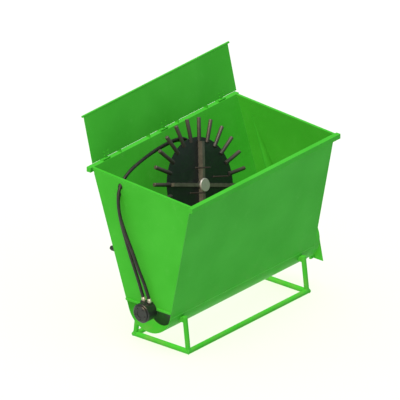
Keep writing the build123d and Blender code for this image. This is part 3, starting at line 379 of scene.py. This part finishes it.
def arm_paint_painted_highlight():
    """Grey-black paint on the arms, lighter than the disc's black paint they share as a painted highlight of their
    lit sides, with cloudy tone and fine dust.
    """
    material, nodes, links, shader = new_material("arm_grey_painted_highlight", 0.5, 0)
    where = object_coordinates(nodes)
    cloudy = noise(nodes, links, where, 20, 6)
    fine = noise(nodes, links, where, 260, 3)
    tone = ramp(nodes, links, cloudy, 0.35, 0.7)
    # both greys are lighter than the disc's black: painted highlight standing in for light falling on the arms'
    # sides
    colour = mix_colour(nodes, links, tone, (0.055, 0.060, 0.052), (0.085, 0.092, 0.078))
    colour = mix_colour(nodes, links, ramp(nodes, links, fine, 0.6, 0.8), colour, (0.12, 0.12, 0.11))
    links.new(colour, shader.inputs["Base Color"])
    vary_roughness(nodes, links, shader, cloudy, 0.38, 0.6)
    bump(nodes, links, shader, [(cloudy, 0.001), (fine, 0.0003)])
    return material


def worn_steel():
    """Dark round bar that the load has rubbed a little lighter towards the tips."""
    material, nodes, links, shader = new_material("worn_bar", 0.5, 0.25)
    where = object_coordinates(nodes)
    cloudy = noise(nodes, links, where, 26, 6)
    fine = noise(nodes, links, where, 300, 3)
    radius = distance_from(nodes, links, where, DISC_CENTRE)
    wobble = math_node(nodes, links, "MULTIPLY", cloudy, 0.08)
    tip = ramp(nodes, links, math_node(nodes, links, "ADD", radius, wobble), 0.46, 0.66)
    colour = mix_colour(nodes, links, tip, (0.030, 0.031, 0.030), (0.085, 0.080, 0.074))
    colour = mix_colour(nodes, links, ramp(nodes, links, fine, 0.62, 0.85), colour, (0.07, 0.055, 0.042))
    links.new(colour, shader.inputs["Base Color"])
    vary_roughness(nodes, links, shader, cloudy, 0.3, 0.6)
    bump(nodes, links, shader, [(cloudy, 0.0008), (fine, 0.0002)])
    return material


def turned_steel(name, colour, roughness, metallic, centre):
    """Bare steel with fine turning rings about a centre."""
    material, nodes, links, shader = new_material(name, roughness, metallic)
    where = object_coordinates(nodes)
    cloudy = noise(nodes, links, where, 40, 5)
    radius = distance_from(nodes, links, where, centre)
    rings = math_node(nodes, links, "SINE", math_node(nodes, links, "MULTIPLY", radius, 4200))
    darker = tuple(channel * 0.72 for channel in colour)
    links.new(mix_colour(nodes, links, cloudy, darker, colour), shader.inputs["Base Color"])
    vary_roughness(nodes, links, shader, cloudy, roughness * 0.75, roughness * 1.35)
    bump(nodes, links, shader, [(rings, 0.00004), (cloudy, 0.0003)])
    return material


def motor_enamel():
    """Black enamel over fine sand casting."""
    material, nodes, links, shader = new_material("motor_enamel", 0.35, 0)
    where = object_coordinates(nodes)
    cloudy = noise(nodes, links, where, 30, 5)
    grain = noise(nodes, links, where, 520, 2)
    colour = mix_colour(nodes, links, cloudy, (0.006, 0.009, 0.0085), (0.017, 0.021, 0.020))
    links.new(colour, shader.inputs["Base Color"])
    vary_roughness(nodes, links, shader, cloudy, 0.24, 0.46)
    bump(nodes, links, shader, [(cloudy, 0.0006), (grain, 0.0004)])
    return material


def hose_rubber():
    """Black hose cover with a fine wrapped texture and dust."""
    material, nodes, links, shader = new_material("hose_cover", 0.5, 0)
    where = object_coordinates(nodes)
    cloudy = noise(nodes, links, where, 18, 5)
    wrap = nodes.new("ShaderNodeTexWave")
    wrap.bands_direction = "DIAGONAL"
    wrap.inputs["Scale"].default_value = 110
    wrap.inputs["Distortion"].default_value = 1.5
    links.new(where, wrap.inputs["Vector"])
    dust = ramp(nodes, links, cloudy, 0.45, 0.8)
    colour = mix_colour(nodes, links, dust, (0.006, 0.0065, 0.006), (0.022, 0.021, 0.019))
    links.new(colour, shader.inputs["Base Color"])
    vary_roughness(nodes, links, shader, cloudy, 0.38, 0.62)
    bump(nodes, links, shader, [(wrap.outputs["Fac"], 0.0003), (cloudy, 0.0005)])
    return material


def weld_paint(name, metallic, dark, light):
    """Painted weld bead, speckled between two colours."""
    material, nodes, links, shader = new_material(name, 0.5, metallic)
    where = object_coordinates(nodes)
    fine = noise(nodes, links, where, 190, 4)
    links.new(mix_colour(nodes, links, fine, dark, light), shader.inputs["Base Color"])
    bump(nodes, links, shader, [(fine, 0.0006)])
    return material


# Shapes

def at(x, y, z):
    """Place given about the trough's axis at the motor end."""
    return AXIS_START + Vector((x, y, z))


def on_disc(x, v, n):
    """Place on the finger disc: across, up the wall, and out from its face."""
    return DISC_CENTRE + Vector((1, 0, 0)) * x + DISC_UP * v + DISC_NORMAL * n


def turned(x, v, n, turn):
    """Place on the disc, turned about its axis."""
    return on_disc(x * math.cos(turn) - v * math.sin(turn), x * math.sin(turn) + v * math.cos(turn), n)


def arc(start, end, steps=40):
    """Angles from a start to an end."""
    return [start + (end - start) * step / steps for step in range(steps + 1)]


def new_piece(name, maker, material, body):
    """Mesh piece that rides on a body."""
    mesh = bpy.data.meshes.new(name)
    maker.to_mesh(mesh)
    maker.free()
    for polygon in mesh.polygons:
        polygon.use_smooth = True
    mesh.materials.append(material)
    piece = bpy.data.objects.new(name, mesh)
    bpy.context.collection.objects.link(piece)
    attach(piece, body)
    return piece


def new_ring(maker, centre, side, other, radius, sides):
    """Corners of one round section."""
    turns = [2 * math.pi * step / sides for step in range(sides)]
    return [maker.verts.new(centre + (side * math.cos(t) + other * math.sin(t)) * radius) for t in turns]


def join_rings(maker, first, second):
    """Faces between two round sections."""
    for step in range(len(first)):
        after = (step + 1) % len(first)
        maker.faces.new((first[step], first[after], second[after], second[step]))


def add_tube(maker, points, radii, sides=8, closed=False):
    """Adds a round tube along points, with a radius at each."""
    rings = []
    count = len(points)
    side_way = None
    for index, (point, radius) in enumerate(zip(points, radii)):
        before = points[index - 1] if index or closed else point
        after = points[(index + 1) % count] if index < count - 1 or closed else point
        along = (after - before).normalized()
        if side_way is None:
            side_way = along.orthogonal().normalized()
        side_way = (side_way - along * side_way.dot(along)).normalized()
        other = along.cross(side_way)
        rings.append(new_ring(maker, point, side_way, other, radius, sides))
    pairs = list(zip(rings, rings[1:]))
    if closed:
        pairs.append((rings[-1], rings[0]))
    for first, second in pairs:
        join_rings(maker, first, second)
    if not closed:
        maker.faces.new(rings[0][::-1])
        maker.faces.new(rings[-1])


def add_bead(maker, points, radius, closed=False):
    """Adds a weld bead with small ripples along a path."""
    spots = []
    following = points[1:] + points[:1] if closed else points[1:]
    for start, end in zip(points, following):
        steps = max(1, round((end - start).length / (radius * 0.9)))
        spots.extend(start.lerp(end, step / steps) for step in range(steps))
    if not closed:
        spots.append(points[-1])
    radii = []
    for index in range(len(spots)):
        radii.append(radius * (1 + 0.16 * math.sin(index * 2.1) + 0.07 * math.sin(index * 0.37)))
    add_tube(maker, spots, radii, 6, closed)


def circle(centre, axis, radius, steps=28):
    """Points round a circle."""
    axis = axis.normalized()
    side = axis.orthogonal().normalized()
    turns = [2 * math.pi * step / steps for step in range(steps)]
    return [centre + Quaternion(axis, turn) @ side * radius for turn in turns]


def add_lathe(maker, start, way, profile, sides=28):
    """Adds a turned shape from (distance, radius) pairs along a way."""
    way = way.normalized()
    side = way.orthogonal().normalized()
    other = way.cross(side)
    rings = []
    for distance, radius in profile:
        rings.append(new_ring(maker, start + way * distance, side, other, radius, sides))
    for first, second in zip(rings, rings[1:]):
        join_rings(maker, first, second)
    maker.faces.new(rings[0][::-1])
    maker.faces.new(rings[-1])


# Cords

def add_hose(name, route, material):
    """Hydraulic hose on one smooth curve through its route."""
    data = bpy.data.curves.new(name, "CURVE")
    data.dimensions = "3D"
    data.bevel_depth = HOSE_DIAMETER / 2
    data.bevel_resolution = 5
    data.resolution_u = 16
    data.use_fill_caps = True
    spline = data.splines.new("NURBS")
    spline.points.add(len(route) - 1)
    for point, place in zip(spline.points, route):
        point.co = (*at(*place), 1)
    spline.order_u = 3
    spline.use_endpoint_u = True
    data.materials.append(material)
    piece = bpy.data.objects.new(name, data)
    bpy.context.collection.objects.link(piece)
    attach(piece, "hopper")
    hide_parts(name.replace("_cover", ""))


def add_ferrule(name, head, way, length, material):
    """Sleeve crimped on a hose's end, with the grooves that the crimping leaves."""
    profile = [(0, 0.0165), (0.05 * length, 0.0182)]
    for groove in range(3):
        start = (0.09 + 0.29 * groove) * length
        profile += [(start, FERRULE_RADIUS), (start + 0.17 * length, FERRULE_RADIUS)]
        profile += [(start + 0.20 * length, 0.0172), (start + 0.26 * length, 0.0172)]
    profile += [(0.96 * length, 0.0182), (length, 0.0153)]
    maker = bmesh.new()
    add_lathe(maker, head - way * length, way, profile)
    piece = new_piece(name, maker, material, "hopper")
    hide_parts("hose_ferrules")
    return piece


def hose_ways(route):
    """Place and outward direction of both ends of a hose."""
    points = [at(*place) for place in route]
    first = (points[0], (points[1] - points[0]).normalized())
    last = (points[-1], (points[-2] - points[-1]).normalized())
    return first, last


# Detail pieces

def add_hopper_welds(material):
    """Weld beads along the hopper's seams, in the corners of the sheet."""
    foot = 0.02
    maker = bmesh.new()
    for side, lean, rim in ((1, REAR_LEAN, REAR_RIM), (-1, FRONT_LEAN, FRONT_RIM)):
        seam = (side * TROUGH_RADIUS * math.cos(lean), -TROUGH_RADIUS * math.sin(lean))
        add_bead(maker, [at(0.01, *seam), at(HOPPER_LENGTH - 0.01, *seam)], SEAM_BEAD)
        inside = ((SHEET, HOPPER_LENGTH - SHEET), TROUGH_RADIUS - SHEET, rim - 0.03, CORNER_BEAD)
        outside = ((0.0, HOPPER_LENGTH), TROUGH_RADIUS, rim - 0.05, FINE_BEAD)
        for ends, radius, top, bead in (inside, outside):
            for x in ends:
                points = []
                for z in (foot, top):
                    points.append(at(x, side * (radius + math.sin(lean) * z) / math.cos(lean), z))
                add_bead(maker, points, bead)
    collar = []
    for t in arc(-1.45 * math.pi, 0.1 * math.pi):
        collar.append(at(HOPPER_LENGTH, TROUGH_RADIUS * math.cos(t), TROUGH_RADIUS * math.sin(t)))
    add_bead(maker, collar, CORNER_BEAD)
    new_piece("hopper_welds", maker, material, "hopper")


def add_skid_welds(material):
    """Beads round the skid's mitres, post feet, post heads and saddles."""
    maker = bmesh.new()
    for x_side in (-1, 1):
        for y_side in (-1, 1):
            x = HOPPER_LENGTH / 2 + x_side * SKID_LENGTH / 2
            corner = at(x, y_side * SKID_WIDTH / 2, -SKID_DROP)
            top = at(x, y_side * POST_REACH, -POST_DROP)
            way = (top - corner).normalized()
            along = Vector((x_side, y_side, 0)).normalized() * math.sqrt(2) * SKID_RADIUS
            up = Vector((0, 0, 1)) * SKID_RADIUS
            mitre = []
            for t in arc(-0.3 * math.pi, 1.3 * math.pi, 28):
                mitre.append(corner + along * math.cos(t) + up * math.sin(t))
            add_bead(maker, mitre, SEAM_BEAD)
            add_bead(maker, post_foot(corner, way, x_side, y_side), FOOT_BEAD, True)
            add_bead(maker, circle(top, way, POST_RADIUS + 0.0005), FINE_BEAD, True)
            low, high = top.z - PAD_HEIGHT, top.z - 0.004
            for pad_x in (-PAD_HALF, PAD_HALF):
                points = []
                for z in (low, (low + high) / 2, high):
                    reach = math.sqrt(TROUGH_RADIUS ** 2 - (z - AXIS_START.z) ** 2)
                    points.append(Vector((top.x + pad_x, AXIS_START.y + y_side * reach, z)))
                add_bead(maker, points, CORNER_BEAD)
    new_piece("skid_welds", maker, material, "hopper")


def post_foot(corner, way, x_side, y_side):
    """Line where a post's round side meets the skid bars' round tops."""
    side = Vector((1, 0, 0))
    other = way.cross(side).normalized()
    points = []
    for t in arc(0, 2 * math.pi, 32)[:-1]:
        start = corner + (side * math.cos(t) + other * math.sin(t)) * POST_RADIUS
        distance = 0.06
        while distance > 0:
            place = start + way * distance - corner
            in_rail = math.hypot(place.y, place.z) < SKID_RADIUS and place.x * x_side < 0.02
            in_cross = math.hypot(place.x, place.z) < SKID_RADIUS and place.y * y_side < 0.02
            if in_rail or in_cross:
                break
            distance -= 0.0008
        points.append(start + way * distance)
    return points


def add_disc_welds(material):
    """Beads that hold the arms, fingers, studs and hub on the disc."""
    maker = bmesh.new()
    add_bead(maker, circle(DISC_CENTRE, DISC_NORMAL, CORE_RADIUS + 0.001, 40), HUB_BEAD, True)
    outline = (
        (TINE_RADIUS, DISC_RADIUS),
        (TINE_RADIUS, TINE_ROOT),
        (-TINE_RADIUS, TINE_ROOT),
        (-TINE_RADIUS, DISC_RADIUS),
    )
    for index in range(TINE_COUNT):
        turn = -(TINE_PHASE + 2 * math.pi * index / TINE_COUNT)
        add_bead(maker, [turned(x, v, 0.0008, turn) for x, v in outline], CORNER_BEAD)
        rim = []
        for t in arc(-0.045, 0.045, 6):
            rim.append(turned(DISC_RADIUS * math.sin(t), DISC_RADIUS * math.cos(t), -0.008, turn))
        add_bead(maker, rim, RIM_BEAD)
    for index in range(ARM_COUNT):
        turn = -(TINE_PHASE + 2 * math.pi * index / ARM_COUNT)
        for side in (-1, 1):
            x = side * (ARM_HALF_WIDTH + 0.0005)
            for start in range(5):
                low = CORE_RADIUS + 0.025 + start * 0.066
                stitch = [turned(x, low, 0.001, turn), turned(x, low + 0.045, 0.001, turn)]
                add_bead(maker, stitch, FOOT_BEAD)
            end = [turned(x, CORE_RADIUS, 0.004, turn), turned(x, CORE_RADIUS, 0.046, turn)]
            add_bead(maker, end, ARM_END_BEAD)
    for radius, angle in STUD_PLACES:
        foot = turned(0, radius, 0.001, -math.radians(angle))
        add_bead(maker, circle(foot, DISC_NORMAL, STUD_RADIUS + 0.001, 16), STUD_BEAD, True)
    new_piece("disc_welds", maker, material, "agitator")


def add_flight_welds(material):
    """Stitched beads round the screw's tube, at the blade's pitch but a quarter turn off its edge."""
    maker = bmesh.new()
    low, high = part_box("auger_flights")
    pitch = (high.x - low.x) / FLIGHT_COUNT
    for index in range(FLIGHT_COUNT * 4):
        points = []
        for t in arc(index * math.pi / 2 + 0.1, index * math.pi / 2 + 1.1, 8):
            x = low.x + 0.001 + pitch * t / (2 * math.pi)
            if x > high.x - 0.01:
                continue
            y = AUGER_AXIS.y - AUGER_TUBE * math.sin(t)
            points.append(Vector((x, y, AUGER_AXIS.z + AUGER_TUBE * math.cos(t))))
        if len(points) > 1:
            add_bead(maker, points, FLIGHT_BEAD)
    new_piece("flight_welds", maker, material, "auger")


# Everything together

def main():
    """Builds the whole scene on the loaded frame."""
    add_camera()
    rubber = hose_rubber()
    zinc = turned_steel("zinc_plated", (0.56, 0.56, 0.50), 0.34, 0.6, AUGER_AXIS)
    hoses = (
        ("pressure_hose", PRESSURE_ROUTE, PRESSURE_LENGTH),
        ("return_hose", RETURN_ROUTE, RETURN_LENGTH),
    )
    for name, route, length in hoses:
        ends = hose_ways(route)
        ferrules = [
            add_ferrule(f"{name}_ferrule_motor", *ends[0], MOTOR_FERRULE, zinc),
            add_ferrule(f"{name}_ferrule_drive", *ends[1], DRIVE_FERRULE, zinc),
        ]
        add_hose(f"{name}_cover", route, rubber)
    add_studio()
    arm_painted_highlight_finish = arm_paint_painted_highlight()
    finishes = {
        "green_paint": green_paint(),
        "black_paint": black_paint(),
        "worn_steel": worn_steel(),
        "bright_steel": turned_steel("bright_turned", (0.50, 0.52, 0.54), 0.36, 0.45, DISC_CENTRE),
        "motor_black": motor_enamel(),
        "zinc_plate": zinc,
        "hose_rubber": rubber,
    }
    for part in frame["record"]["subparts"]:
        node = frame["nodes"][part["node"]]
        node.data.materials.clear()
        # the arms get a lighter grey than their black-paint slot, a painted highlight of their lit sides
        finish = arm_painted_highlight_finish if part["node"] == "agitator_arms" else finishes[part["material_slot"]]
        node.data.materials.append(finish)
    green_weld = weld_paint("weld_green", 0, (0.024, 0.32, 0.018), (0.05, 0.44, 0.035))
    black_weld = weld_paint("weld_black", 0.2, (0.018, 0.02, 0.02), (0.07, 0.07, 0.066))
    add_hopper_welds(green_weld)
    add_skid_welds(green_weld)
    add_disc_welds(black_weld)
    add_flight_welds(black_weld)


main()
